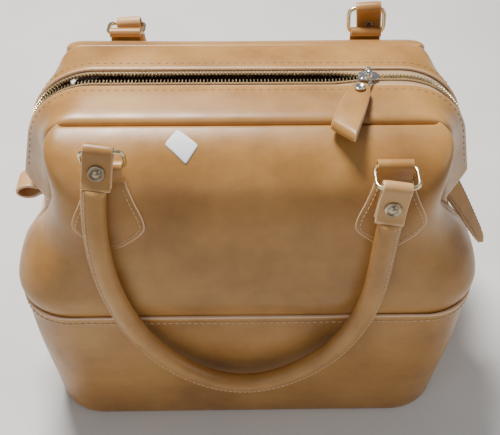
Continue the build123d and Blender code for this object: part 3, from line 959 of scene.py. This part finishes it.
def make_handle(end):
    body = f"{end}_handle"
    across = FRONT_AXIS
    tabs = []
    for pivot, lean in zip(FRONT_PIVOTS, TAB_LEANS):
        down = np.array([0, -lean, -1.0])
        down = unit(down - across * down.dot(across))
        tabs.append((pivot + across * HANDLE_SHIFT, down, np.cross(down, across)))
    ends = [base + down * 30 for base, down, _ in tabs]
    centre = clamped_spline([ends[0], *GRIP_ROUTE, ends[1]], tabs[0][1], -tabs[1][1], 150)
    tangent = tangents(centre)
    front = unit(tangent * (tangent @ BACKWARD)[:, None] - BACKWARD)
    outer = np.cross(tangent, front)
    # The rolled leather has a stitched flange along its outer edge.
    rings = []
    for point, o, f in zip(centre, outer, front):
        ring = []
        for c, s in turn(29, 0, 360)[:-1]:
            pull = max(0.0, (c - FLANGE_START) / (1 - FLANGE_START))
            outward = c * GRIP_RADIUS + 3.4 * pull ** 0.8
            ring.append(point + o * outward + f * s * GRIP_RADIUS * (1 - 0.3 * pull))
        rings.append(ring)
    parts = [tube("grip", rings, leather)]
    for way in (1, -1):
        seam, normals = centre + outer * 7.9 + front * way * 4.5, front * way + outer * 0.8
        parts.append(stitches("thread", seam, normals, 4.2, thread_light, radius=0.45, lift=0.0))
    # Each end narrows into a flat tongue between the tab's two layers.
    sizes = ((8, 7.5, 1.3), (13, 8.6, 1.5), (21, 8.8, 1.6), (26, 8.6, 2.4), (30, 8.2, 5.0), (33.5, 7.8, 7.4))
    for base, down, out in tabs:
        sections = [ellipse_section(base + down * depth, across, out, width, thick, 28, power=0.7)
                    for depth, width, thick in sizes]
        parts.append(tube("tongue", sections, leather))
    piece = join(f"{end}_handle_rolled", parts)
    if end == "back":
        turn_round(piece)
    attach(piece, body)
    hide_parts(f"{end}_handle_grip")

    for index, (base, down, out) in enumerate(tabs):
        place = ("left", "right")[index if end == "front" else 1 - index]
        profile = [(depth, 3.5 + 1.4 * max(0, (depth - 23) / 5) ** 1.5) for depth in np.linspace(28.6, 11, 14)]
        profile.append((7.4, 4.1))
        profile += [(5.5 * c, 5.5 * s) for c, s in turn(19, 62, 236)]
        profile += [(depth, -lift) for depth, lift in profile[:15][::-1]]
        path = soften(np.array([base + down * depth + out * lift for depth, lift in profile]), 2)
        widths = np.full(len(path), 10.7)
        # The right tab takes the lighter copy of the leather, which is painted light.
        tone = leather_painted_light if index else leather
        parts, grid, normal = strap("tab", path, widths, -across, 1.9, tone)
        for row in (0, -1):
            sections = [ellipse_section(p - normal[row] * 0.95 + down * 0.1, down, normal[row], 0.5, 1.05, 8)
                        for p in grid[row]]
            parts.append(tube("tab_end", sections, leather_edge))
        tab = join(f"{end}_{place}_handle_tab_leather", parts)
        cap = dome("cap", base + down * RIVET_DROP + out * 3.4, out, 6.5, antique)
        tail = dome("tail", base + down * RIVET_DROP - out * 3.3, -out, 3.2, antique, hollow=True)
        rivet = join(f"{end}_{place}_handle_rivet_cap", [cap, tail])
        if end == "back":
            turn_round(tab)
            turn_round(rivet)
        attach(tab, body)
        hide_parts(f"{end}_{place}_handle_tab")
        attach(rivet, body)
        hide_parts(f"{end}_{place}_handle_rivet")


# ------------------------------------------------------------------ zip end tabs and label
def make_left_tab():
    low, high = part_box("left_zip_tab")
    centre = np.array([(low.x + high.x) / 2, 0, (low.z + high.z) / 2]) / MM + [1.5, 0, -3.0]
    profile = [(14.5, 9.0)]
    profile += [(11.6 * c, 8.0 * s + 0.6 * c) for c, s in turn(29, 32, 300)]
    profile.append((14.0, -2.0))
    path = soften(np.array([centre + [along, 0, up] for along, up in profile]), 2)
    widths = np.full(len(path), 11.5)
    # The loop takes the lighter copy of the leather: painted light for its up-facing surface.
    parts, _, _ = strap("loop", path, widths, -BACKWARD, 2.1, leather_painted_light)
    piece = join("left_zip_tab_loop", parts)
    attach(piece, "root")
    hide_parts("left_zip_tab")


def make_right_tab():
    """Two leather strips hang from the zip's lower end, their flat sides turned partly forward."""
    low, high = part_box("right_zip_tab")
    top = np.array([173.0, -8.0, high.z / MM + 4])
    bottom = np.array([217.0, (low.y + high.y) / 2 / MM, low.z / MM - 9])
    direction = unit(bottom - top)
    across = np.array([0.62, 0.78, 0])
    across = unit(across - direction * across.dot(direction))
    out = np.cross(direction, across)
    parts = []
    for layer in (-1, 1):
        path, widths = [], []
        for share in np.linspace(0, 1, 24):
            apart = 1.3 + 1.6 * math.sin(math.pi * share ** 0.8)
            path.append(top + (bottom - top) * share + out * layer * apart)
            rounding = math.sqrt(max(0.05, 1 - (max(0.0, share - 0.93) / 0.072) ** 2))
            widths.append(12.5 * (1 - 0.62 * share) * rounding)
        strips, grid, _ = strap("layer", path, widths, across * layer, 1.9, leather)
        parts += strips
        for column in (2, -3):
            line = grid[2:-3, column]
            normals = np.tile(out * layer, (len(line), 1))
            parts.append(stitches("thread", line, normals, 4.0, thread_dark, radius=0.36, lift=0.2))
    piece = join("right_zip_tab_layers", parts)
    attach(piece, "root")
    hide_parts("right_zip_tab")


def make_label(tree):
    """A blank paper label that lies on the shoulder."""
    low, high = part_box("price_sticker")
    middle = (np.array(low) + np.array(high)) / 2 / MM
    angle = math.radians(-38)
    grid = []
    for v in np.linspace(-1, 1, 12):
        row = []
        for u in np.linspace(-1, 1, 16):
            corner = 1 - 0.06 * (abs(u) ** 10) * (abs(v) ** 10)
            a, b = 10.2 * u * corner, 7.6 * v * corner
            x = middle[0] + a * math.cos(angle) - b * math.sin(angle)
            y = middle[1] + a * math.sin(angle) + b * math.cos(angle)
            hit, normal, _, _ = tree.ray_cast(Vector((x, y, 400)), Vector((0, 0, -1)))
            normal = normal if normal.z > 0 else -normal
            row.append(np.array(hit) + np.array(normal) * 0.45)
        grid.append(row)
    label = shell("price_label_blank", np.array(grid), 0.3, paper)
    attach(label, "root")
    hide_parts("price_sticker")


def dress_cad_nodes():
    """Gives the CAD pieces that stay visible their materials."""
    finishes = {"frame_bar": steel, "hinge_leaves": steel, "hinge_pin": steel, "base_panel": leather_base,
                "base_board": board, "handle_core": rope_cloth}
    for name, obj in frame["nodes"].items():
        for part, material in finishes.items():
            if part in name:
                obj.data.materials.clear()
                obj.data.materials.append(material)


trees = {}
for SIDE, END in ((-1, "front"), (1, "back")):
    trees[END] = skin_tree(SIDE)
    make_tape(SIDE, END)
    make_teeth(SIDE, END)
    for PLACE in ("left", "right"):
        make_chape(SIDE, END, PLACE, trees[END])
    make_ring(END, 0)
    make_ring(END, 1)
    make_handle(END)
make_slider()
make_link()
make_pull()
make_left_tab()
make_right_tab()
make_label(trees["front"])
dress_cad_nodes()


# ------------------------------------------------------------------ floor, lights and camera
def area_light(name, place, aim, size, power, colour=(1, 1, 1)):
    data = bpy.data.lights.new(name, "AREA")
    data.shape = "RECTANGLE"
    data.size, data.size_y = size
    data.energy = power
    data.color = colour
    light = bpy.data.objects.new(name, data)
    bpy.context.scene.collection.objects.link(light)
    light.location = place
    light.rotation_euler = (Vector(aim) - Vector(place)).to_track_quat("-Z", "Y").to_euler()


def make_studio():
    mesh = bpy.data.meshes.new("floor")
    size = 6.0
    corners = [(-size, -size, 0), (size, -size, 0), (size, size, 0), (-size, size, 0)]
    mesh.from_pydata(corners, [], [(0, 1, 2, 3)])
    floor = bpy.data.objects.new("floor", mesh)
    bpy.context.scene.collection.objects.link(floor)
    material, tree, shader, source = node_material("floor_paper")
    tone = noise(tree, source, 6, 3, 0.5)
    tones = ramp(tree, tone, [(0.3, (0.70, 0.69, 0.67)), (0.7, (0.76, 0.75, 0.73))])
    tree.links.new(tones, shader.inputs["Base Color"])
    set_inputs(shader, Roughness=0.9)
    mesh.materials.append(material)
    area_light("key", (-0.35, 0.55, 1.75), (0, -0.02, 0.2), (0.5, 0.4), 62, (1.0, 0.985, 0.95))
    area_light("fill", (-0.9, -1.5, 1.0), (0, 0, 0.15), (1.6, 1.2), 7, (0.97, 0.98, 1.0))
    area_light("side", (1.6, -0.4, 0.9), (0, 0, 0.15), (0.9, 0.9), 5)
    world = bpy.data.worlds.new("studio")
    world.use_nodes = True
    set_inputs(world.node_tree.nodes["Background"], Color=(0.80, 0.82, 0.85, 1), Strength=0.30)
    bpy.context.scene.world = world


def make_camera():
    elevation, heading, roll = math.radians(43), math.radians(1.7), math.radians(0.7)
    distance, drop, shift = 0.701, 0.109, 0.003
    seam_height = 0.294
    level = math.cos(elevation)
    forward = Vector((math.sin(heading) * level, math.cos(heading) * level, -math.sin(elevation)))
    right = forward.cross(Vector((0, 0, 1))).normalized()
    down = forward.cross(right).normalized()
    place = Vector((0, 0, seam_height)) + right * shift + down * drop - forward * distance
    data = bpy.data.cameras.new("camera")
    data.lens = 62.8
    data.sensor_width = 36
    data.clip_start = 0.01
    camera = bpy.data.objects.new("camera", data)
    bpy.context.scene.collection.objects.link(camera)
    basis = Matrix((right, -down, -forward)).transposed()
    camera.matrix_world = Matrix.Translation(place) @ basis.to_4x4() @ Matrix.Rotation(roll, 4, "Z")
    bpy.context.scene.camera = camera


make_studio()
make_camera()
bpy.context.view_layer.update()
